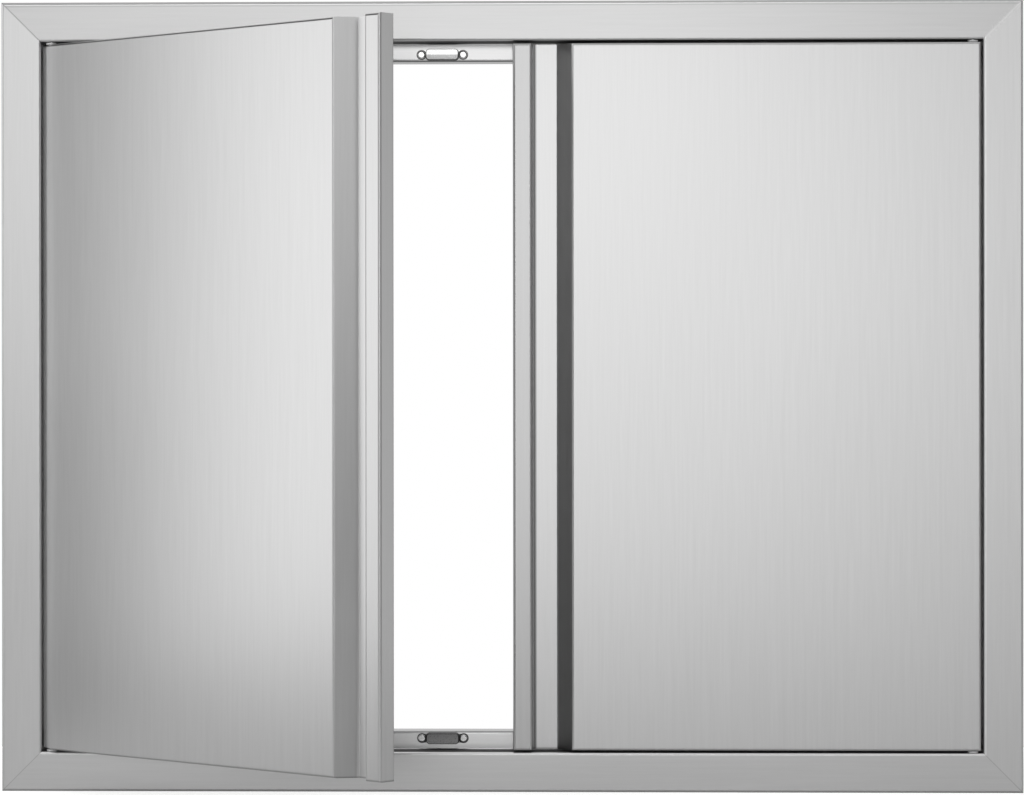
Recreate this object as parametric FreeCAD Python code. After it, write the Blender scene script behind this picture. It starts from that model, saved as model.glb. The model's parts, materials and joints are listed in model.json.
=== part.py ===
import FreeCAD, Part
import math
import os
from FreeCAD import Rotation, Vector

# Double access door for an outdoor kitchen island, in millimetres.
# X runs right, Y back into the island and Z up. The origin is the centre of the trim, in the
# plane of the island's wall, which the trim's outer returns touch. The right door is closed
# and the left door stands ajar.

# Trim frame, one bent sheet profile all round
overall_width = 787.4
overall_height = 609.6
sheet = 1.0
bend_inside = 1.0
trim_width = 30.7
trim_depth = 12.7
stop_depth = 24.0
lip_width = 14.0
frame_depth = 44.45

# Screw holes in the inner returns, behind the closed doors
fixing_radius = 2.25
fixing_depth = 19.8
side_fixing_pitch = 400.0
rail_fixing_pitch = 500.0

# Gaps round the doors
hinge_gap = 1.6
meeting_gap = 3.4
top_gap = 1.8
bottom_gap = 1.4
running_gap = 0.1

# Door skin: grip bar at the meeting edge, finger channel, slanted wall, panel
door_depth = 15.5
grip_width = 15.0
grip_slot = 1.5
channel_floor = 19.0
slant_run = 12.0
back_flange = 12.0
ajar_angle = 39.8

# Liner riveted on the door's back
liner_sheet = 0.8
liner_overlap = 10.0
liner_corner = 4.0
rivet_radius = 1.6
rivet_head_radius = 3.0
rivet_head_height = 0.9
rivet_head_edge = 0.7
rivet_tail_radius = 2.3
rivet_tail_height = 1.4
rivet_row = 6.5
side_rivet_pitch = 140.0
side_rivets = 4
end_rivet_pitch = 95.0
end_rivets = 3

# Pivots at the hinge side
pivot_inset = 6.0
pivot_depth = 4.6
pin_radius = 2.0
pin_reach = 7.0
pin_point = 0.5
pin_head_radius = 2.6
pin_head_height = 1.5
pivot_clearance = 0.05
bush_radius = 3.0
bush_length = 7.5
bush_flange_radius = 4.0
pivot_plate_length = 24.0
pivot_plate_thickness = 2.5

# Magnetic catches on the stop lip, and the plates they hold
catch_offset = 53.5
catch_drop = 8.6
catch_gap = 0.2
case_length = 25.0
case_height = 8.3
case_corner = 2.5
case_base = 1.2
ear_thickness = 1.0
ear_radius = 3.5
ear_pitch = 32.4
magnet_length = 20.4
magnet_height = 2.6
magnet_recess = 0.8
pole_height = 1.6
pole_proud = 0.6
pocket_clearance = 0.1
screw_radius = 1.5
screw_length = 4.5
screw_head_radius = 3.0
screw_head_height = 1.9
recess_length = 3.4
recess_width = 0.8
recess_depth = 1.1
strike_sheet = 1.0
strike_length = 34.0
strike_height = 9.0
strike_corner = 1.0
strike_rivet_pitch = 22.0
strike_rivet_radius = 1.5
strike_rivet_head_radius = 2.3
strike_rivet_tail_radius = 2.2

# Worked out from the dimensions above
bend_outside = bend_inside + sheet
opening_width = overall_width - 2 * trim_width
opening_height = overall_height - 2 * trim_width
door_width = (opening_width - meeting_gap) / 2 - hinge_gap
door_top = opening_height / 2 - top_gap
door_bottom = bottom_gap - opening_height / 2
door_front = -trim_depth
door_back = door_front + door_depth
liner_back = door_back + liner_sheet
strike_back = liner_back + strike_sheet
pole_front = strike_back + catch_gap
case_front = pole_front + pole_proud
lip_front = stop_depth - trim_depth
pivot_x = opening_width / 2 - hinge_gap - pivot_inset
pivot_y = pivot_depth - trim_depth
catch_z = opening_height / 2 - catch_drop
channel_depth = door_depth - sheet
channel_foot = grip_width + channel_floor
channel_brow = channel_foot + slant_run
bush_flange = bottom_gap - running_gap
up = Vector(0, 0, 1)
back = Vector(0, 1, 0)
ends = (1, -1)


def rounded_loop(points, radii):
    """Closed wire through the points, each corner rounded by its radius."""
    stops = []
    for i, corner in enumerate(points):
        before = (points[i - 1] - corner).normalize()
        after = (points[(i + 1) % len(points)] - corner).normalize()
        half = before.getAngle(after) / 2
        reach = radii[i] / math.tan(half)
        middle = corner
        if radii[i]:
            inward = (before + after).normalize()
            middle = corner + inward * (radii[i] / math.sin(half) - radii[i])
        stops.append((corner + before * reach, middle, corner + after * reach))
    edges = []
    for i, (start, middle, end) in enumerate(stops):
        previous = stops[i - 1][2]
        if previous.distanceToPoint(start) > 1e-6:
            edges.append(Part.LineSegment(previous, start).toShape())
        if radii[i]:
            edges.append(Part.Arc(start, middle, end).toShape())
    return Part.Wire(edges)


def prism(points, radii, travel):
    """Solid swept straight from a rounded polygon."""
    return Part.Face(rounded_loop(points, radii)).extrude(travel)


def turned(outline, radii, position, direction):
    """Solid of revolution from (radius, height) points, set down at a position along a direction."""
    points = [Vector(radius, 0, height) for radius, height in outline]
    solid = Part.Face(rounded_loop(points, radii)).revolve(Vector(0, 0, 0), up, 360)
    solid = Part.makeSolid(solid.Shells[0])
    solid.Placement = FreeCAD.Placement(position, Rotation(up, direction))
    return solid


def sheet_outline(path):
    """Outline and corner radii of a bent sheet whose show side follows a path of (across, deep) points."""
    show = [Vector(across, deep, 0) for across, deep in path]
    steps = [(b - a).normalize() for a, b in zip(show, show[1:])]
    normals = [Vector(-step.y, step.x, 0) for step in steps]
    hidden = [show[0] + normals[0] * sheet]
    show_radii = [0]
    hidden_radii = [0]
    for i in range(1, len(steps)):
        spread = normals[i - 1] + normals[i]
        share = sheet / (1 + normals[i - 1].dot(normals[i]))
        hidden.append(show[i] + spread * share)
        outward = steps[i - 1].cross(steps[i]).z > 0
        show_radii.append(bend_outside if outward else bend_inside)
        hidden_radii.append(bend_inside if outward else bend_outside)
    hidden.append(show[-1] + normals[-1] * sheet)
    return show + hidden[::-1], show_radii + [0] + hidden_radii[::-1] + [0]


def rail(length, reach, holes):
    """Mitred rail along X with its outer edge at height reach, and its round holes cut."""
    inner = trim_width + lip_width
    path = [(0, trim_depth), (0, 0), (trim_width, 0), (trim_width, stop_depth),
            (inner, stop_depth), (inner, frame_depth)]
    outline, radii = sheet_outline(path)
    section = [Vector(-length / 2, point.y - trim_depth, reach - point.x) for point in outline]
    bar = prism(section, radii, Vector(length, 0, 0))
    taper = inner + sheet
    mitre = [Vector(-length / 2, -trim_depth - sheet, reach), Vector(length / 2, -trim_depth - sheet, reach),
             Vector(length / 2 - taper, -trim_depth - sheet, reach - taper),
             Vector(taper - length / 2, -trim_depth - sheet, reach - taper)]
    bar = bar.common(prism(mitre, [0] * 4, back * (frame_depth + 2 * sheet)))
    for hole in holes:
        bar = bar.cut(hole)
    return bar.Solids[0]


def fixing_holes(reach, pitch):
    """Pair of screw holes through a rail's inner return."""
    deep = fixing_depth - trim_depth
    foot = reach - trim_width - sheet
    return [Part.makeCylinder(fixing_radius, 3 * sheet, Vector(side * pitch / 2, deep, foot)) for side in ends]


def pivot_holes(reach):
    """Holes that the pivot pins are pressed into."""
    foot = reach - trim_width - sheet
    return [Part.makeCylinder(pin_radius, 3 * sheet, Vector(side * pivot_x, pivot_y, foot)) for side in ends]


def catch_screw_places(height):
    """Screw axes of the two catches at a height, on the lip's front."""
    return [Vector(side * catch_offset + ear * ear_pitch / 2, lip_front, height) for side in ends for ear in ends]


def lip_holes(reach):
    """Screw holes of the two catches through a rail's lip."""
    height = reach - trim_width - catch_drop
    return [Part.makeCylinder(screw_radius, 3 * sheet, place - back * sheet, back)
            for place in catch_screw_places(height)]


def frame_rails():
    """The four rails, mitred and welded at the corners."""
    reach = overall_height / 2
    holes = fixing_holes(reach, rail_fixing_pitch) + pivot_holes(reach) + lip_holes(reach)
    across = rail(overall_width, reach, holes)
    upright = rail(overall_height, overall_width / 2, fixing_holes(overall_width / 2, side_fixing_pitch))
    centre = Vector(0, 0, 0)
    return {"frame_top_rail": across,
            "frame_bottom_rail": across.copy().rotate(centre, back, 180),
            "frame_right_rail": upright.copy().rotate(centre, back, 90),
            "frame_left_rail": upright.copy().rotate(centre, back, -90)}


def pivot_pin(side, end):
    """Headed pin pressed into a rail from outside, reaching into the door's bush."""
    shank = sheet + top_gap + pin_reach
    outline = [(0, -shank), (pin_radius - pin_point, -shank), (pin_radius, pin_point - shank),
               (pin_radius, 0), (pin_head_radius, 0), (pin_head_radius, pin_head_height), (0, pin_head_height)]
    radii = [0, 0, 0, 0, 0, pin_head_height / 2, 0]
    seat = Vector(side * pivot_x, pivot_y, end * (opening_height / 2 + sheet))
    return turned(outline, radii, seat, up * end)


def rounded_plate(centre, length, height, corner, start, end):
    """Plate lying in X and Z between two depths, with rounded corners."""
    points = [Vector(centre.x + i * length / 2, start, centre.z + j * height / 2)
              for i, j in ((-1, -1), (1, -1), (1, 1), (-1, 1))]
    return prism(points, [corner] * 4, back * (end - start))


def catch_case(centre):
    """Case of one magnetic catch: a block with a pocket for the magnet, between two round ears."""
    base = lip_front - case_base
    block = rounded_plate(centre, case_length, case_height, case_corner, case_front, lip_front)
    ears = rounded_plate(centre, ear_pitch, 2 * ear_radius, 0, lip_front - ear_thickness, lip_front)
    case = block.fuse(ears)
    pocket_height = magnet_height + 2 * (pole_height + pocket_clearance)
    pocket = rounded_plate(centre, magnet_length + 2 * pocket_clearance, pocket_height, 0, case_front - sheet, base)
    holes = []
    for ear in ends:
        foot = Vector(centre.x + ear * ear_pitch / 2, lip_front - ear_thickness, centre.z)
        case = case.fuse(Part.makeCylinder(ear_radius, ear_thickness, foot, back))
        holes.append(Part.makeCylinder(screw_radius, 2 * ear_thickness, foot, back))
    return case.removeSplitter().cut([pocket] + holes).Solids[0]


def catch_magnet(centre):
    """Magnet bar of one catch, set back behind its pole plates."""
    return rounded_plate(centre, magnet_length, magnet_height, 0, pole_front + magnet_recess, lip_front - case_base)


def catch_poles(centre):
    """Pole plates of one catch, above and below the magnet."""
    offset = Vector(0, 0, (magnet_height + pole_height) / 2)
    plates = [rounded_plate(centre + offset * side, magnet_length, pole_height, 0,
                            pole_front, lip_front - case_base) for side in ends]
    return Part.makeCompound(plates)


def catch_screw(place):
    """Pan-head screw with a crossed recess, through an ear and the lip."""
    outline = [(0, -screw_length), (screw_radius, -screw_length), (screw_radius, 0), (screw_head_radius, 0),
               (screw_head_radius, screw_head_height), (0, screw_head_height)]
    seat = place - back * ear_thickness
    screw = turned(outline, [0, 0, 0, 0, screw_head_height / 2, 0], seat, back * -1)
    floor = seat - back * (screw_head_height - recess_depth)
    for length, height in ((recess_length, recess_width), (recess_width, recess_length)):
        slot = rounded_plate(floor, length, height, 0, floor.y - 2 * recess_depth, floor.y)
        screw = screw.cut(slot)
    return screw.Solids[0]


def catches():
    """The four catches, by node name, and all their screws."""
    made = {}
    for end, level in zip(ends, ("upper", "lower")):
        for side, hand in zip(ends, ("right", "left")):
            centre = Vector(side * catch_offset, lip_front, end * catch_z)
            made[f"catch_case_{level}_{hand}"] = catch_case(centre)
            made[f"catch_magnet_{level}_{hand}"] = catch_magnet(centre)
            made[f"catch_poles_{level}_{hand}"] = catch_poles(centre)
    screws = [catch_screw(place) for end in ends for place in catch_screw_places(end * catch_z)]
    made["catch_screws"] = Part.makeCompound(screws)
    return made


def door_point(across, deep, height):
    """Point of the closed right door, across from its meeting edge and deep behind its front."""
    return Vector(meeting_gap / 2 + across, door_front + deep, height)


def door_prism(points, radii, bottom, top):
    """Upright prism of the door from (across, deep) points."""
    return prism([door_point(across, deep, bottom) for across, deep in points], radii, up * (top - bottom))


def end_rounding(left, right, inset, front_radius, back_radius):
    """Slab of the door's depth and height, inset all round, with its top and bottom edges rounded."""
    points = [door_point(left, deep, height)
              for deep, height in ((inset, door_bottom + inset), (door_depth - inset, door_bottom + inset),
                                   (door_depth - inset, door_top - inset), (inset, door_top - inset))]
    return prism(points, [front_radius, back_radius, back_radius, front_radius], Vector(right - left, 0, 0))


def slant_inside(deep):
    """Distance across to the hidden side of the slanted wall, at a depth."""
    slant_length = math.hypot(slant_run, channel_depth)
    return channel_brow + (sheet * slant_length - slant_run * deep) / channel_depth


def rivet_places():
    """Liner rivets: (across, height) along the hinge side, the top and the bottom of the door."""
    middle = (door_top + door_bottom) / 2
    places = [(door_width - rivet_row, middle + (i - (side_rivets - 1) / 2) * side_rivet_pitch)
              for i in range(side_rivets)]
    centre = (channel_brow + door_width) / 2
    for height in (door_top - rivet_row, door_bottom + rivet_row):
        places += [(centre + (i - (end_rivets - 1) / 2) * end_rivet_pitch, height) for i in range(end_rivets)]
    return places


def strike_rivet_places(end):
    """Rivets of one strike plate, as (across, height)."""
    centre = catch_offset - meeting_gap / 2
    return [(centre + side * strike_rivet_pitch / 2, end * catch_z) for side in ends]


def back_holes(places, radius):
    """Round holes through the door's back at (across, height) places."""
    start = door_depth - 2 * sheet
    length = 2 * sheet + liner_sheet + 2 * strike_sheet
    return [Part.makeCylinder(radius, length, door_point(across, start, height), back) for across, height in places]


def all_strike_rivet_places():
    """Rivets of both strike plates, as (across, height)."""
    return strike_rivet_places(1) + strike_rivet_places(-1)


def panel_hollow():
    """Hollow of the panel, inside its folded sheet."""
    inner_back = door_depth - sheet
    inner_hinge = door_width - sheet
    corners = [(slant_inside(sheet), sheet), (inner_hinge, sheet), (inner_hinge, inner_back),
               (slant_inside(inner_back), inner_back)]
    hollow = door_prism(corners, [bend_inside] * 3 + [0], door_bottom, door_top)
    return hollow.common(end_rounding(channel_foot, door_width, sheet, bend_inside, bend_inside))


def door_skin():
    """Outer skin: one folded sheet with grip bar, finger channel, panel, end flanges and back flanges."""
    outline = [(0, 0), (grip_width, 0), (grip_width, channel_depth), (channel_foot, channel_depth),
               (channel_brow, 0), (door_width, 0), (door_width, door_depth), (0, door_depth)]
    radii = [bend_outside, bend_outside, bend_inside, bend_inside, bend_outside, bend_outside, bend_outside,
             bend_outside]
    block = door_prism(outline, radii, door_bottom, door_top)
    channel_end = end_rounding(0, channel_foot, 0, bend_outside, 0)
    panel_end = end_rounding(channel_foot, door_width, 0, bend_outside, bend_outside)
    block = block.common(channel_end.fuse(panel_end))
    inner_back = door_depth - sheet
    inner_grip = grip_width - sheet
    tube = [(sheet, sheet), (inner_grip, sheet), (inner_grip, inner_back), (sheet, inner_back)]
    tube = door_prism(tube, [bend_inside, bend_inside, 0, bend_inside], door_bottom + sheet, door_top - sheet)
    slot = [(inner_grip - grip_slot, channel_depth - sheet), (inner_grip, channel_depth - sheet),
            (inner_grip, door_depth + sheet), (inner_grip - grip_slot, door_depth + sheet)]
    slot = door_prism(slot, [0] * 4, door_bottom + sheet, door_top - sheet)
    beyond = door_depth + sheet
    window = [(slant_inside(inner_back - sheet), inner_back - sheet), (slant_inside(beyond), beyond),
              (door_width - back_flange, beyond), (door_width - back_flange, inner_back - sheet)]
    window = door_prism(window, [0] * 4, door_bottom + back_flange, door_top - back_flange)
    bore = Part.makeCylinder(bush_radius, door_top - door_bottom + 2 * sheet,
                             Vector(pivot_x, pivot_y, door_bottom - sheet))
    cuts = [panel_hollow(), tube, slot, window, bore] + back_holes(rivet_places(), rivet_radius)
    cuts += back_holes(all_strike_rivet_places(), strike_rivet_radius)
    for cut in cuts:
        block = block.cut(cut)
    return block.Solids[0]


def door_liner():
    """Flat liner on the back flanges."""
    left = door_point(channel_foot - liner_overlap, 0, 0).x
    right = door_point(door_width - bend_outside, 0, 0).x
    bottom = door_bottom + bend_outside
    top = door_top - bend_outside
    centre = Vector((left + right) / 2, 0, (top + bottom) / 2)
    plate = rounded_plate(centre, right - left, top - bottom, liner_corner, door_back, liner_back)
    holes = back_holes(rivet_places(), rivet_radius) + back_holes(all_strike_rivet_places(), strike_rivet_radius)
    return plate.cut(holes).Solids[0]


def door_rivets():
    """Blind rivets that hold the liner."""
    grip = liner_sheet + sheet
    outline = [(0, -grip - rivet_tail_height), (rivet_tail_radius, -grip - rivet_tail_height),
               (rivet_tail_radius, -grip), (rivet_radius, -grip), (rivet_radius, 0), (rivet_head_radius, 0),
               (rivet_head_radius, rivet_head_height), (0, rivet_head_height)]
    radii = [0, rivet_tail_height / 2, 0, 0, 0, 0, rivet_head_edge, 0]
    return Part.makeCompound([turned(outline, radii, door_point(across, door_depth + liner_sheet, height), back)
                              for across, height in rivet_places()])


def strike_plate(end):
    """Steel plate that a catch holds, with countersunk rivet holes."""
    centre = Vector(catch_offset, 0, end * catch_z)
    plate = rounded_plate(centre, strike_length, strike_height, strike_corner, liner_back, strike_back)
    for across, height in strike_rivet_places(end):
        seat = door_point(across, door_depth + liner_sheet, height)
        plate = plate.cut(Part.makeCone(strike_rivet_radius, strike_rivet_head_radius, strike_sheet, seat, back))
    return plate.Solids[0]


def strike_rivets(end):
    """Flush rivets of one strike plate."""
    grip = sheet + liner_sheet
    outline = [(0, -grip - rivet_tail_height), (strike_rivet_tail_radius, -grip - rivet_tail_height),
               (strike_rivet_tail_radius, -grip), (strike_rivet_radius, -grip), (strike_rivet_radius, 0),
               (strike_rivet_head_radius, strike_sheet), (0, strike_sheet)]
    return [turned(outline, [0] * 7, door_point(across, door_depth + liner_sheet, height), back)
            for across, height in strike_rivet_places(end)]


def pivot_plate(end):
    """Reinforcing plate inside the door, against an end flange, bored for the bush."""
    inner = door_top - sheet if end > 0 else door_bottom + sheet
    far = inner - end * pivot_plate_thickness
    right = door_width - sheet
    left = right - pivot_plate_length
    corners = [(left, 0), (right, 0), (right, door_depth), (left, door_depth)]
    plate = door_prism(corners, [0] * 4, min(inner, far), max(inner, far)).common(panel_hollow())
    bore = Part.makeCylinder(bush_radius, 4 * pivot_plate_thickness,
                             Vector(pivot_x, pivot_y, inner - 2 * pivot_plate_thickness))
    return plate.cut(bore).Solids[0]


def pivot_bush(end):
    """Flanged bush in the door's end, its flange in the gap under or over the rail."""
    bore = pin_radius + pivot_clearance
    outline = [(bore, -bush_length), (bush_radius, -bush_length), (bush_radius, 0), (bush_flange_radius, 0),
               (bush_flange_radius, bush_flange), (bore, bush_flange)]
    mouth = door_top if end > 0 else door_bottom
    return turned(outline, [0] * 6, Vector(pivot_x, pivot_y, mouth), up * end)


def closed_right_door():
    """All the pieces of the closed right door, by their names within the door."""
    pieces = {"skin": door_skin(), "liner": door_liner(), "liner_rivets": door_rivets()}
    for end, level in zip(ends, ("upper", "lower")):
        pieces[f"{level}_pivot_plate"] = pivot_plate(end)
        pieces[f"{level}_pivot_bush"] = pivot_bush(end)
        pieces[f"{level}_strike_plate"] = strike_plate(end)
    pieces["strike_rivets"] = Part.makeCompound(strike_rivets(1) + strike_rivets(-1))
    return pieces


def ajar_left(piece):
    """The same piece mirrored to the left door and swung ajar about its pivot."""
    mirrored = piece.mirror(Vector(0, 0, 0), Vector(1, 0, 0))
    return mirrored.rotate(Vector(-pivot_x, pivot_y, 0), up, -ajar_angle)


def assembly():
    """Every node of the part, by name."""
    nodes = frame_rails()
    nodes["pivot_pins"] = Part.makeCompound([pivot_pin(side, end) for side in ends for end in ends])
    nodes.update(catches())
    for name, piece in closed_right_door().items():
        nodes["right_door_" + name] = piece
        nodes["left_door_" + name] = ajar_left(piece)
    return nodes


os.makedirs("parts", exist_ok=True)
for node, shape in assembly().items():
    print(f"{node}: {len(shape.Solids)} solids, {shape.Volume:.1f} mm3, valid {shape.isValid()}")
    shape.exportStep(f"parts/{node}.step")
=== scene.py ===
"""Looks, light and camera for the double access door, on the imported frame. Metres, row frame."""
import json
from math import cos, pi, radians, sin

import bpy
from mathutils import Matrix, Vector


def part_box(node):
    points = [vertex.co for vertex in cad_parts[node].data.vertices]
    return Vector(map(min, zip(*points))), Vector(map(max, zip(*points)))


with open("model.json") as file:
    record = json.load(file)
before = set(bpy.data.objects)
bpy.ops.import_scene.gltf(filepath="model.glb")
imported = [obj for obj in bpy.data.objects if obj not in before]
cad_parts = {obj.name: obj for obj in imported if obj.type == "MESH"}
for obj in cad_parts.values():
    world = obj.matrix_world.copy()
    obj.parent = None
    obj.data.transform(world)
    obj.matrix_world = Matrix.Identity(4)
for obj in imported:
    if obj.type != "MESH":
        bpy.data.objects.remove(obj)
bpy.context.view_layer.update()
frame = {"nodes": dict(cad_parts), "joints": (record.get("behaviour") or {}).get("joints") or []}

# The trim: half sizes of its outline, its face in y, and its width from the outline to the inner return.
RAIL_LOW, RAIL_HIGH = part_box("frame_top_rail")
HALF_WIDTH = RAIL_HIGH.x
HALF_HEIGHT = RAIL_HIGH.z
FACE_Y = RAIL_LOW.y
TRIM_WIDTH = 0.0307

# The inner returns in |x| and |z|, and the end of the stop lip in |z|.
RETURN_X = HALF_WIDTH - TRIM_WIDTH
RETURN_Z = HALF_HEIGHT - TRIM_WIDTH
LIP_END_Z = RAIL_LOW.z

# The catches' cases: middle in |x| and |z|, half sizes, corner and ears. Their backs rest on the stop lip.
CASE_LOW, CASE_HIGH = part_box("catch_case_upper_left")
CATCH_X = -(CASE_LOW.x + CASE_HIGH.x) / 2
CATCH_Z = (CASE_LOW.z + CASE_HIGH.z) / 2
LIP_Y = CASE_HIGH.y
CASE_HALF_LENGTH = 0.0125
CASE_HALF_HEIGHT = (CASE_HIGH.z - CASE_LOW.z) / 2
CASE_CORNER = 0.0025
EAR_X = 0.0162
EAR_RADIUS = (CASE_HIGH.x - CASE_LOW.x) / 2 - EAR_X

# A shut door: its face in y, its lower edge in z, its hinge edge and its grip bar's far side in |x|.
DOOR_LOW, DOOR_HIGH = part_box("right_door_skin")
DOOR_FACE = DOOR_LOW.y
DOOR_FOOT = DOOR_LOW.z
DOOR_HINGE_EDGE = DOOR_HIGH.x
GRIP_WIDTH = 0.0150
GRIP_SIDE = DOOR_LOW.x + GRIP_WIDTH


# Node helpers

# Most of a noise's values lie between these two, and a bump made of it is this deep.
NOISE_LOW = 0.3
NOISE_HIGH = 0.7
BUMP_DEPTH = 0.00003


class Tree:
    """A node tree with short calls for the nodes that the materials share."""

    def __init__(self, owner):
        owner.use_nodes = True
        self.tree = owner.node_tree
        self.tree.nodes.clear()

    def node(self, kind, **settings):
        made = self.tree.nodes.new(kind)
        for name, value in settings.items():
            setattr(made, name, value)
        return made

    def link(self, source, target):
        self.tree.links.new(source, target)

    def put(self, socket, value):
        """Sets a socket to a number, or joins it to another node's output."""
        if isinstance(value, bpy.types.NodeSocket):
            self.link(value, socket)
        else:
            socket.default_value = value

    def math(self, operation, first, second=0.0):
        made = self.node("ShaderNodeMath", operation=operation)
        self.put(made.inputs[0], first)
        self.put(made.inputs[1], second)
        return made.outputs[0]

    def plus(self, first, second):
        return self.math("ADD", first, second)

    def minus(self, first, second):
        return self.math("SUBTRACT", first, second)

    def times(self, first, *others):
        for other in others:
            first = self.math("MULTIPLY", first, other)
        return first

    def size(self, value):
        """The value without its sign."""
        return self.math("ABSOLUTE", value)

    def length(self, first, second):
        """The length of a step with those two parts."""
        squares = self.plus(self.times(first, first), self.times(second, second))
        return self.math("SQRT", squares)

    def outside(self, mask):
        """1 where the mask is 0, and 0 where it is 1."""
        return self.minus(1.0, mask)

    def darker(self, value, share):
        """The value less that share of it."""
        return self.times(value, self.minus(1.0, share))

    def paler(self, value, share):
        """The value and that share of it more."""
        return self.times(value, self.plus(1.0, share))

    def ramp(self, value, low, high, to_low=0.0, to_high=1.0, smooth=False):
        """Maps value from low..high to to_low..to_high and holds it there."""
        made = self.node("ShaderNodeMapRange", clamp=True)
        made.interpolation_type = "SMOOTHSTEP" if smooth else "LINEAR"
        for socket, given in zip(made.inputs, (value, low, high, to_low, to_high)):
            self.put(socket, given)
        return made.outputs[0]

    def rise(self, value, edge, reach, most=1.0):
        """From 0 to most as value goes from the reach's start to its end, both counted from the edge."""
        return self.ramp(value, edge + reach[0], edge + reach[1], 0.0, most)

    def fall(self, value, edge, reach, most=1.0):
        """From most to 0 as value goes from the reach's start to its end, both counted from the edge."""
        return self.ramp(value, edge + reach[0], edge + reach[1], most, 0.0)

    def spread(self, noise, low, high):
        """Maps most of a noise to low..high."""
        return self.ramp(noise, NOISE_LOW, NOISE_HIGH, low, high)

    def mix(self, factor, first, second):
        made = self.node("ShaderNodeMix", data_type="RGBA")
        self.put(made.inputs["Factor"], factor)
        self.put(made.inputs[6], first)
        self.put(made.inputs[7], second)
        return made.outputs[2]

    def grey(self, value):
        """A grey colour of that value."""
        made = self.node("ShaderNodeCombineColor")
        for socket in made.inputs:
            self.put(socket, value)
        return made.outputs[0]

    def noise(self, scale=1.0, detail=2.0, stretch=(1.0, 1.0, 1.0)):
        """Noise in the object's own coordinates, which the stretch scales along each axis."""
        mapping = self.node("ShaderNodeMapping")
        mapping.inputs["Scale"].default_value = stretch
        self.link(self.node("ShaderNodeTexCoord").outputs["Object"], mapping.inputs["Vector"])
        made = self.node("ShaderNodeTexNoise")
        self.link(mapping.outputs["Vector"], made.inputs["Vector"])
        made.inputs["Scale"].default_value = scale
        made.inputs["Detail"].default_value = detail
        return made.outputs["Fac"]

    def parts(self, vector):
        """The x, y and z of a vector."""
        split = self.node("ShaderNodeSeparateXYZ")
        self.link(vector, split.inputs[0])
        return split.outputs

    def place(self):
        """The object's own x, y and z."""
        return self.parts(self.node("ShaderNodeTexCoord").outputs["Object"])

    def rays(self):
        """Two masks: what the camera sees, also through glass, and what gloss sees."""
        path = self.node("ShaderNodeLightPath")
        direct = self.math("MAXIMUM", path.outputs["Is Camera Ray"], path.outputs["Is Transmission Ray"])
        return direct, path.outputs["Is Glossy Ray"]

    def surface(self, colour, roughness, metallic, height, bump):
        """The principled shader on the output, with a fine bump."""
        shader = self.node("ShaderNodeBsdfPrincipled")
        self.put(shader.inputs["Base Color"], colour)
        self.put(shader.inputs["Roughness"], roughness)
        shader.inputs["Metallic"].default_value = metallic
        made = self.node("ShaderNodeBump")
        made.inputs["Strength"].default_value = bump
        made.inputs["Distance"].default_value = BUMP_DEPTH
        self.link(height, made.inputs["Height"])
        self.link(made.outputs[0], shader.inputs["Normal"])
        self.output("ShaderNodeOutputMaterial", shader)

    def output(self, kind, shader):
        """Joins a shader to the tree's output."""
        self.link(shader.outputs[0], self.node(kind).inputs["Surface"])


# Brushed steel

# Tone and roughness of the sheet, and how far its grain moves the tone.
STEEL = 0.60
STEEL_ROUGH = 0.275
STEEL_GRAIN = 0.045

# The grain's scale along and across its run: fine hairs, and broader streaks under them.
HAIRS = (25.0, 900.0)
STREAKS = (12.0, 330.0)

# The grain's values at its darkest and its palest, how much rougher the pale is, and the grain's bump.
GRAIN_LOW = 0.25
GRAIN_HIGH = 0.75
GRAIN_ROUGHER = 0.015
GRAIN_BUMP = 0.05

# Large soft clouds in the tone: their scale along x, y and z, and how far they move it each way.
CLOUDS = (4.0, 4.0, 2.5)
CLOUD_TONE = 0.01


def along(axis, run, across):
    """The scale of a texture that is drawn out along one axis."""
    return tuple(run if name == axis else across for name in "XYZ")


def brushed(name, axis, tone=STEEL, rough=STEEL_ROUGH, detail=None):
    """Brushed stainless sheet with its grain along an axis, and a detail of its own."""
    material = bpy.data.materials.new(name)
    tree = Tree(material)
    hairs = tree.noise(stretch=along(axis, *HAIRS))
    streaks = tree.noise(detail=3.0, stretch=along(axis, *STREAKS))
    cloud = tree.noise(detail=1.0, stretch=CLOUDS)
    grain = tree.times(tree.plus(hairs, streaks), 0.5)
    value = tree.ramp(grain, GRAIN_LOW, GRAIN_HIGH, tone - STEEL_GRAIN / 2, tone + STEEL_GRAIN / 2)
    value = tree.plus(value, tree.spread(cloud, -CLOUD_TONE, CLOUD_TONE))
    roughness = tree.spread(grain, rough, rough + GRAIN_ROUGHER)
    if detail is not None:
        value, roughness = detail(tree, value, roughness)
    tree.surface(tree.grey(value), roughness, 1.0, grain, GRAIN_BUMP)
    return material


# The catches' outline

# The share of a line's reach over which it keeps its full tone.
OUTLINE_CORE = 0.4


def catch_line(tree, x, z, reach):
    """1 on the outlines of a catch's case and ears, falling to 0 at the reach."""
    across = tree.size(tree.minus(tree.size(x), CATCH_X))
    up = tree.size(tree.minus(tree.size(z), CATCH_Z))
    past_end = tree.math("MAXIMUM", tree.minus(across, CASE_HALF_LENGTH - CASE_CORNER), 0.0)
    past_side = tree.math("MAXIMUM", tree.minus(up, CASE_HALF_HEIGHT - CASE_CORNER), 0.0)
    off_case = tree.minus(tree.length(past_end, past_side), CASE_CORNER)
    off_ear = tree.minus(tree.length(tree.minus(across, EAR_X), up), EAR_RADIUS)
    nearest = tree.math("MINIMUM", tree.size(off_case), tree.size(off_ear))
    return tree.ramp(nearest, OUTLINE_CORE * reach, reach, 1.0, 0.0)


# The rails

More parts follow.
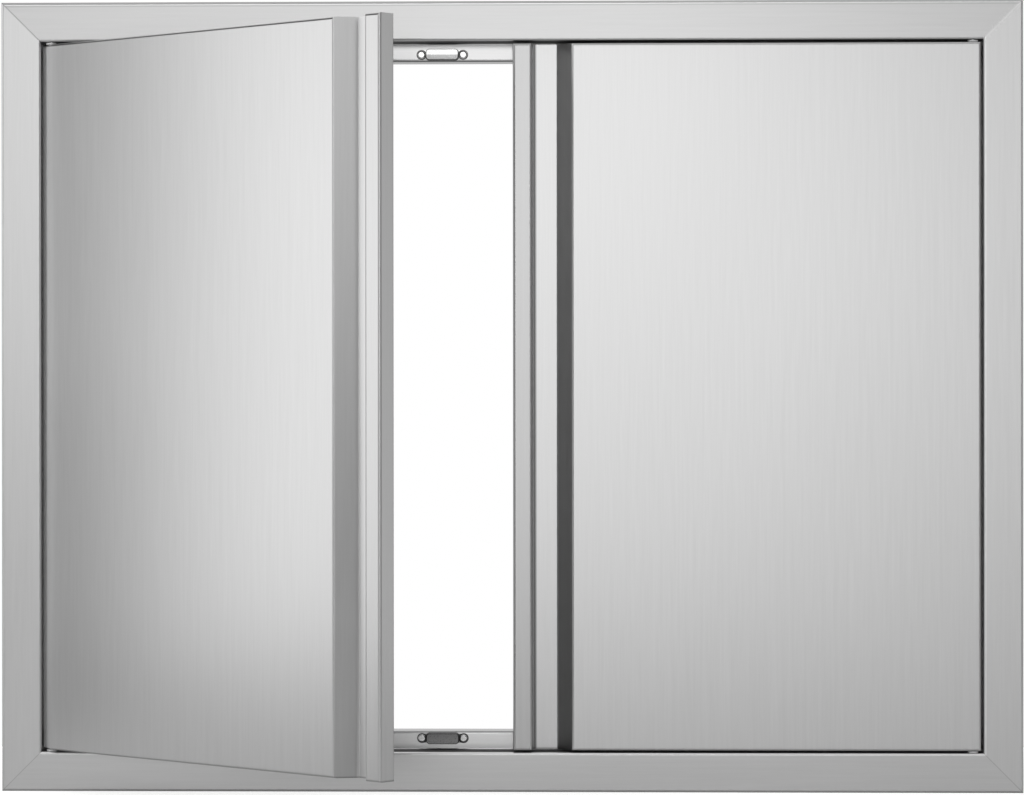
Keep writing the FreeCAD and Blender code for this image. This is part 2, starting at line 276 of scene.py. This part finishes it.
# The ground weld along the mitres: half the width of its line, where the line's soft edge ends, and its
# tone. At the upper right it is a wider pale line instead, with scuffs beside it.
MITRE_HALF = 0.0002
MITRE_EDGE = 0.0006
MITRE_DARKER = 0.14
PALE_EDGE = 3 * MITRE_EDGE
PALE_TONE = 0.07

# The scuffs' scale, the noise's values where they start and are full, their reach and their tone.
SCUFF_SCALE = 420.0
SCUFF_LOW = 0.50
SCUFF_HIGH = 0.62
SCUFF_REACH = 0.006
SCUFF_TONE = 0.12

# Painted highlight and painted shade lines along the trim's bends: where they start and end, and how much
# paler they are, darker below 0. On the level rails they lie in from the outline, on the right rail out
# from the inner return.
TOP_HIGHLIGHT_AND_SHADE_LINES = (((0.0018, 0.0023), 0.42), ((0.0029, 0.0036), -0.18))
BOTTOM_SHADE_LINES = (((0.0007, 0.0014), -0.30),)
INNER_HIGHLIGHT_LINE = ((0.0010, 0.0020), 0.35)
LINE_FADE = 0.0004

# Where a tone changes, counted from an edge: behind the trim's face, outside the inner return, over the
# return's bend, in front of the stop lip, and from the lip's end.
FACE_BEND = (0.0012, 0.0030)
RETURN_START = (0.0002, 0.0010)
RETURN_BEND = (0.0012, 0.0022)
LIP_START = (-0.0012, -0.0004)
LIP_HEM = (0.0004, 0.0010)

# How much painted shade darkens the level rails' returns, how much of that is added to their roughness, and
# the painted contact shadow line on their lips round the catches.
RETURN_SHADE = 0.70
RETURN_ROUGHER = 0.8
LIP_CONTACT_REACH = 0.0005
LIP_CONTACT_SHADE = 0.85


def band(tree, value, ends, strength):
    """The strength where value lies between the ends, fading out on both sides."""
    start, end = ends
    rise = tree.ramp(value, start - LINE_FADE, start, 0.0, strength)
    return tree.times(rise, tree.ramp(value, end, end + LINE_FADE, 1.0, 0.0))


def mitre_line(tree, value, roughness):
    """The ground weld along the mitres: a thin dark line, pale and scuffed at the upper right."""
    x, _, z = tree.place()
    past_corner = tree.minus(tree.size(x), tree.size(z))
    away = tree.size(tree.minus(past_corner, HALF_WIDTH - HALF_HEIGHT))
    upper_right = tree.math("GREATER_THAN", tree.math("MINIMUM", x, z), 0.0)
    dark = tree.times(tree.ramp(away, MITRE_HALF, MITRE_EDGE, MITRE_DARKER, 0.0), tree.outside(upper_right))
    pale = tree.times(tree.ramp(away, MITRE_HALF, PALE_EDGE, PALE_TONE, 0.0), upper_right)
    scuffs = tree.ramp(tree.noise(SCUFF_SCALE, detail=3.0), SCUFF_LOW, SCUFF_HIGH)
    near = tree.ramp(away, 0.0, SCUFF_REACH, SCUFF_TONE, 0.0, True)
    worn = tree.times(scuffs, near, upper_right)
    value = tree.plus(tree.minus(value, dark), tree.plus(pale, worn))
    return value, tree.plus(roughness, tree.plus(dark, worn))


def side_rail(tree, value, roughness):
    """A detail for the side rails: mitres, and a painted highlight line on the right rail's inner bend."""
    value, roughness = mitre_line(tree, value, roughness)
    x, y, _ = tree.place()
    # Painted highlight along the right rail's inner bend.
    painted_highlight = band(tree, tree.minus(x, RETURN_X), *INNER_HIGHLIGHT_LINE)
    painted_highlight = tree.times(painted_highlight, tree.fall(y, FACE_Y, FACE_BEND))
    return tree.paler(value, painted_highlight), roughness


def level_rail(lip, hem_shade, bend_highlight, painted_lines):
    """A detail for the top and bottom rails: mitres, painted highlight and shade lines, painted shade and
    more roughness on the return, how much paler the lip is, and how strong the painted highlight on the
    return's bend and the painted shade on the lip's hem are."""

    def detail(tree, value, roughness):
        value, roughness = mitre_line(tree, value, roughness)
        x, y, z = tree.place()
        height = tree.size(z)
        behind_face = tree.rise(y, FACE_Y, FACE_BEND)
        at_lip = tree.rise(y, LIP_Y, LIP_START)
        on_face = tree.outside(behind_face)
        # Painted highlight on the return's bend.
        value = tree.paler(value, tree.times(tree.fall(height, RETURN_Z, RETURN_BEND, bend_highlight), on_face))
        # Painted highlight and painted shade lines along the outer bend.
        from_outline = tree.minus(HALF_HEIGHT, height)
        for ends, strength in painted_lines:
            value = tree.paler(value, tree.times(band(tree, from_outline, ends, strength), on_face))
        # Painted shade on the return, which also gets rougher.
        inside = tree.fall(height, RETURN_Z, RETURN_START)
        painted_return_shade = tree.times(inside, behind_face, RETURN_SHADE, tree.outside(at_lip))
        value = tree.darker(value, painted_return_shade)
        value = tree.paler(value, tree.times(at_lip, lip))
        # Painted shade on the lip's hem.
        value = tree.darker(value, tree.times(tree.fall(height, LIP_END_Z, LIP_HEM, hem_shade), at_lip))
        # Painted contact shadow on the lip round the catches.
        catch_contact_shade = tree.times(catch_line(tree, x, z, LIP_CONTACT_REACH), at_lip, LIP_CONTACT_SHADE)
        value = tree.darker(value, catch_contact_shade)
        return value, tree.plus(roughness, tree.times(painted_return_shade, RETURN_ROUGHER))

    return detail


# The doors

# Where a tone changes, counted from an edge: at the grip bar's side in |x|, behind the door's face in y,
# up from its lower edge in z, and at its hinge edge in |x|, along the strip that is painted paler as a
# highlight and made rougher.
GRIP_END = (0.0001, 0.0005)
FRONT_END = (0.0002, 0.0006)
LOWER_BEND = (0.0002, 0.0016)
HINGE_STRIP = (-0.0024, -0.0008)

# The painted shade line along the grip bar's foot, where its bends meet the channel: how it starts and
# ends in |x|, counted from the bar's side.
FOOT_START = (0.0003, 0.0011)
FOOT_END = (0.0018, 0.0034)

# The channel's far wall in |x|, and how softly its shade starts and ends there.
WALL_START = 0.0366
WALL_END = 0.0482
WALL_FADE = 0.0006

# How much painted shade darkens the lower bend, and how much of the hinge strip's painted highlight is
# added to its roughness.
LOWER_BEND_SHADE = 0.5
HINGE_ROUGHER = 0.5

# Each door's tones: how much darker the grip bar's front is, how deep the painted shade on its foot line
# is, the painted shade on the channel's wall with its start and full depth in z, and how much paler the
# painted highlight on the strip at the hinge is.
DOOR_TONES = {
    "left_door": {
        "grip": 0.02, "foot": 0.0, "wall": 0.25, "wall_from": -0.16, "wall_to": -0.27, "hinge": 0.35,
    },
    "right_door": {
        "grip": 0.17, "foot": 0.80, "wall": 0.38, "wall_from": 0.15, "wall_to": -0.27, "hinge": 0.0,
    },
}


def shut_door(joint):
    """The place and turn that carry a door's rest coordinates to the shut door."""
    pivot = Vector(joint["pos_m"])
    turn = radians(joint["range_deg"][0]) * joint["axis"][2]
    spin = Matrix.Rotation(turn, 3, "Z")
    return pivot - spin @ pivot, turn


def door_detail(joint):
    """A detail that tones a door's grip bar, paints shade on its foot line, channel wall and lower bend,
    and a highlight on its hinge strip, shut or open.
    """
    place, turn = shut_door(joint)
    tones = DOOR_TONES[joint["child"]]

    def detail(tree, value, roughness):
        shut = tree.node("ShaderNodeMapping")
        shut.inputs["Location"].default_value = place
        shut.inputs["Rotation"].default_value = (0, 0, turn)
        tree.link(tree.node("ShaderNodeTexCoord").outputs["Object"], shut.inputs["Vector"])
        x, y, z = tree.parts(shut.outputs[0])
        across = tree.size(x)
        front = tree.fall(y, DOOR_FACE, FRONT_END)
        behind_front = tree.outside(front)
        on_bar = tree.fall(across, GRIP_SIDE, GRIP_END)
        value = tree.darker(value, tree.times(on_bar, front, tones["grip"]))
        # Painted shade along the grip bar's foot.
        foot = tree.times(
            tree.rise(across, GRIP_SIDE, FOOT_START),
            tree.fall(across, GRIP_SIDE, FOOT_END),
            behind_front,
        )
        value = tree.darker(value, tree.times(foot, tones["foot"]))
        on_wall = tree.times(
            tree.rise(across, WALL_START, (0.0, WALL_FADE)),
            tree.fall(across, WALL_END, (-WALL_FADE, 0.0)),
            behind_front,
        )
        shade = tree.ramp(z, tones["wall_from"], tones["wall_to"], 0.0, tones["wall"])
        value = tree.darker(value, tree.times(on_wall, shade))
        # Painted shade on the lower bend.
        value = tree.darker(value, tree.fall(z, DOOR_FOOT, LOWER_BEND, LOWER_BEND_SHADE))
        # Painted highlight on the hinge strip, which also gets rougher.
        painted_hinge_strip = tree.rise(across, DOOR_HINGE_EDGE, HINGE_STRIP, tones["hinge"])
        return tree.paler(value, painted_hinge_strip), tree.plus(roughness, tree.times(painted_hinge_strip, HINGE_ROUGHER))

    return detail


# Catches, fasteners and bushes

# The even speckle of satin metal and plastic: its scale, its bump, and how far it moves the roughness.
SPECK_SCALE = 900.0
SPECK_BUMP = 0.08
SPECK_ROUGHER = 0.04

# A catch's case: where its lower tone, painted shade, gives way to its upper one, a painted highlight on
# the upper catches, in z from the middle, how far the speck moves the tone each way, its roughness, and the
# painted shade line round its edges.
CASE_CHANGE = (-0.0008, 0.0004)
CASE_SPECK = 0.015
CASE_ROUGH = 0.30
CASE_EDGE_SHADE_REACH = 0.0006
CASE_EDGE_SHADE = 0.92


def catch_look(name, top, bottom):
    """A catch's case and magnet: one tone above and one below, painted light and shade, and a painted shade
    line round the edges.
    """
    material = bpy.data.materials.new(name)
    tree = Tree(material)
    x, _, z = tree.place()
    up = tree.minus(tree.size(z), CATCH_Z)
    value = tree.ramp(up, *CASE_CHANGE, bottom, top)
    speck = tree.noise(SPECK_SCALE)
    value = tree.plus(value, tree.spread(speck, -CASE_SPECK, CASE_SPECK))
    value = tree.darker(value, tree.times(catch_line(tree, x, z, CASE_EDGE_SHADE_REACH), CASE_EDGE_SHADE))
    roughness = tree.spread(speck, CASE_ROUGH - SPECK_ROUGHER, CASE_ROUGH + SPECK_ROUGHER)
    tree.surface(tree.grey(value), roughness, 1.0, speck, SPECK_BUMP)
    return material


def satin(name, tone, rough, metallic=1.0, scale=SPECK_SCALE, contrast=0.04):
    """Metal or plastic with a fine even speckle."""
    material = bpy.data.materials.new(name)
    tree = Tree(material)
    speck = tree.noise(scale)
    value = tree.spread(speck, tone - contrast / 2, tone + contrast / 2)
    roughness = tree.spread(speck, rough - SPECK_ROUGHER, rough + SPECK_ROUGHER)
    tree.surface(tree.grey(value), roughness, metallic, speck, SPECK_BUMP)
    return material


def make_materials(joints):
    """Every material by its short name."""
    top_detail = level_rail(lip=0.18, hem_shade=0.75, bend_highlight=0.0, painted_lines=TOP_HIGHLIGHT_AND_SHADE_LINES)
    bottom_detail = level_rail(lip=0.25, hem_shade=0.60, bend_highlight=0.45, painted_lines=BOTTOM_SHADE_LINES)
    looks = {
        "rail_top": brushed("rail_steel_top", "X", tone=0.54, detail=top_detail),
        "rail_bottom": brushed("rail_steel_bottom", "X", tone=0.59, detail=bottom_detail),
        "rail_side": brushed("rail_steel_side", "Z", detail=side_rail),
        "liner": brushed("liner_steel_brushed", "Z", tone=0.57, rough=0.28),
        "plated": satin("plated_steel_satin", tone=0.55, rough=0.30),
        "fastener": satin("fastener_bright", tone=0.68, rough=0.20, scale=1500.0),
        # The same catch part twice: painted highlight on the upper catches' top half, painted shade on the
        # lower catches.
        "catch_upper": catch_look("catch_painted_lit", top=0.95, bottom=0.45),
        "catch_lower": catch_look("catch_painted_shaded", top=0.22, bottom=0.20),
        "nylon": satin("nylon_white", tone=0.82, rough=0.45, metallic=0.0, scale=700.0, contrast=0.02),
    }
    for joint in joints:
        name = joint["child"]
        looks[name] = brushed(name + "_steel", "Z", detail=door_detail(joint))
    return looks


BY_SLOT = {
    "liner_steel": "liner",
    "plated_steel": "plated",
    "bright_fastener": "fastener",
    "white_nylon": "nylon",
}


def look_of(name, slot):
    """The short name of the material for a node."""
    if slot == "frame_steel":
        return "rail_top" if "top" in name else "rail_bottom" if "bottom" in name else "rail_side"
    if slot == "door_steel":
        return name.removesuffix("_skin")
    if name.startswith(("catch_case", "catch_magnet", "catch_poles")):
        return "catch_upper" if "upper" in name else "catch_lower"
    return BY_SLOT[slot]


def dress(nodes, looks):
    """Gives every CAD node its material."""
    for name, piece in nodes.items():
        look = looks[look_of(name, piece.data.materials[0].name)]
        piece.material_slots[0].link = "OBJECT"
        piece.material_slots[0].material = look


# Studio

# Soft boxes far away, as seen from the object: azimuth, elevation, inner and outer radius in degrees, and
# strength.
SOFT_BOXES = (
    # In front.
    (0, 0, 1, 13, 1.21),
    (0, 7, 1, 9, 1.64),
    (-12, 8, 1, 10, 1.51),
    (20, 8, 1, 9, 1.96),
    (7, -20, 2, 14, 1.04),
    (-7, -20, 2, 14, 0.65),
    (0, -12, 1, 8, 0.96),
    # At the sides.
    (-92, 0, 4, 24, 0.21),
    (-66, 0, 4, 24, 0.46),
    (-42, 0, 4, 20, 0.60),
    (45, 0, 4, 22, 0.60),
    (97, 0, 3, 22, 0.71),
    # Above, in front and behind.
    (0, 60, 12, 45, 0.76),
    (180, 60, 10, 60, 0.30),
    # The pale floor's glow, from below almost to the horizon.
    (0, -90, 50, 84, 0.67),
)
# The light from everywhere else.
STUDIO_LEVEL = 0.03

# Metal sees the white behind the object in directions whose y is past the first value, and fully past
# the second.
BEHIND_START = 0.15
BEHIND_FULL = 0.75
WHITE = (1, 1, 1, 1)


def heading(azimuth, elevation):
    """The unit vector towards a place in the studio: azimuth 0 is in front, + to the right."""
    flat = cos(radians(elevation))
    return (
        sin(radians(azimuth)) * flat,
        -cos(radians(azimuth)) * flat,
        sin(radians(elevation)),
    )


def make_world():
    """A plain studio: white to the camera, and to gloss behind the object, else soft boxes all round."""
    world = bpy.data.worlds.new("studio")
    bpy.context.scene.world = world
    tree = Tree(world)
    way = tree.node("ShaderNodeTexCoord").outputs["Generated"]
    level = STUDIO_LEVEL
    for azimuth, elevation, inner, outer, strength in SOFT_BOXES:
        dot = tree.node("ShaderNodeVectorMath", operation="DOT_PRODUCT")
        tree.link(way, dot.inputs[0])
        dot.inputs[1].default_value = heading(azimuth, elevation)
        rim, core = cos(radians(outer)), cos(radians(inner))
        level = tree.plus(level, tree.ramp(dot.outputs["Value"], rim, core, 0.0, strength, True))
    behind = tree.ramp(tree.parts(way)[1], BEHIND_START, BEHIND_FULL, smooth=True)
    direct, glossy = tree.rays()
    white = tree.math("MAXIMUM", direct, tree.times(glossy, behind))
    background = tree.node("ShaderNodeBackground")
    tree.link(tree.mix(white, tree.grey(level), WHITE), background.inputs["Color"])
    tree.output("ShaderNodeOutputWorld", background)


# The round floor: its radius and sides, how far its middle lies in front, its speckle's scale and tones.
FLOOR_RADIUS = 0.9
FLOOR_SIDES = 96
FLOOR_FORWARD = 0.45
FLOOR_SCALE = 30.0
FLOOR_TONE = (0.84, 0.86)

# The floor's lift for what looks at it: the camera sees it near the white around it, and fully white
# towards its rim, and metal sees it greyer.
CAMERA_LIFT = 0.70
GLOSSY_LIFT = 0.17
RIM_START = 0.55


def make_floor():
    """A plain pale floor that keeps the object's shadow."""
    bpy.ops.mesh.primitive_circle_add(
        vertices=FLOOR_SIDES,
        radius=FLOOR_RADIUS,
        fill_type="NGON",
        location=(0, -FLOOR_FORWARD, -HALF_HEIGHT),
    )
    floor = bpy.context.object
    floor.name = "floor"
    material = bpy.data.materials.new("floor_pale")
    tree = Tree(material)
    diffuse = tree.node("ShaderNodeBsdfDiffuse")
    tree.link(tree.grey(tree.spread(tree.noise(FLOOR_SCALE), *FLOOR_TONE)), diffuse.inputs["Color"])
    away = tree.node("ShaderNodeVectorMath", operation="LENGTH")
    tree.link(tree.node("ShaderNodeTexCoord").outputs["Object"], away.inputs[0])
    direct, glossy = tree.rays()
    seen_lift = tree.ramp(away.outputs["Value"], RIM_START, FLOOR_RADIUS, CAMERA_LIFT, 1.0)
    lift = tree.math("MAXIMUM", tree.times(direct, seen_lift), tree.times(glossy, GLOSSY_LIFT))
    glow = tree.node("ShaderNodeEmission")
    tree.link(lift, glow.inputs["Strength"])
    both = tree.node("ShaderNodeAddShader")
    tree.link(diffuse.outputs[0], both.inputs[0])
    tree.link(glow.outputs[0], both.inputs[1])
    tree.output("ShaderNodeOutputMaterial", both)
    floor.data.materials.append(material)


# A near soft box at the left, upright in the plane x = NEAR_LEFT, as panels: back and front in y,
# foot and top in z, and the radiance.
NEAR_LEFT = -1.2
NEAR_PANELS = (
    (0.0, -0.15, 0.0, 0.6, 0.17),
    (-0.15, -0.30, 0.0, 0.6, 1.10),
    (-0.15, -0.30, -0.29, 0.0, 1.10),
    (-0.30, -0.45, 0.0, 0.6, 1.26),
    (-0.30, -0.45, -0.29, 0.0, 1.32),
    (-0.45, -0.70, 0.0, 0.6, 0.92),
    (-0.70, -1.10, 0.0, 0.6, 0.61),
)


def make_near_box():
    """The near soft box, a lamp for each of its panels."""
    for back, front, foot, top, radiance in NEAR_PANELS:
        data = bpy.data.lights.new("near_box", "AREA")
        data.shape = "RECTANGLE"
        data.size = top - foot
        data.size_y = back - front
        data.energy = radiance * pi * data.size * data.size_y
        lamp = bpy.data.objects.new("near_box", data)
        lamp.location = (NEAR_LEFT, (back + front) / 2, (top + foot) / 2)
        lamp.rotation_euler = (0, -pi / 2, 0)
        lamp.visible_camera = False
        bpy.context.collection.objects.link(lamp)


# Camera

# The camera's place, its turns in radians, and its focal length in pixels of an image of that width.
CAMERA_PLACE = (0.071245, -2.723797, 0.004542)
CAMERA_YAW = 0.02588
CAMERA_PITCH = -0.00194
CAMERA_ROLL = 0.00075
FOCAL_PIXELS = 3521.72
IMAGE_WIDTH = 1024
SENSOR_WIDTH = 36.0
CLIP_START = 0.05


def make_camera():
    """The camera at the photograph's viewing angle."""
    data = bpy.data.cameras.new("camera")
    data.sensor_fit = "HORIZONTAL"
    data.sensor_width = SENSOR_WIDTH
    data.lens = FOCAL_PIXELS / IMAGE_WIDTH * SENSOR_WIDTH
    data.clip_start = CLIP_START
    camera = bpy.data.objects.new("camera", data)
    bpy.context.collection.objects.link(camera)
    turn = (
        Matrix.Rotation(CAMERA_YAW, 3, "Z")
        @ Matrix.Rotation(CAMERA_PITCH, 3, "X")
        @ Matrix.Rotation(CAMERA_ROLL, 3, "Y")
    )
    right, look, up = turn.col
    seen = Matrix((right, up, -look)).transposed().to_4x4()
    camera.matrix_world = Matrix.Translation(Vector(CAMERA_PLACE)) @ seen
    bpy.context.scene.camera = camera


make_camera()
make_world()
make_near_box()
make_floor()
dress(frame["nodes"], make_materials(frame["joints"]))
bpy.context.scene.view_settings.view_transform = "Standard"
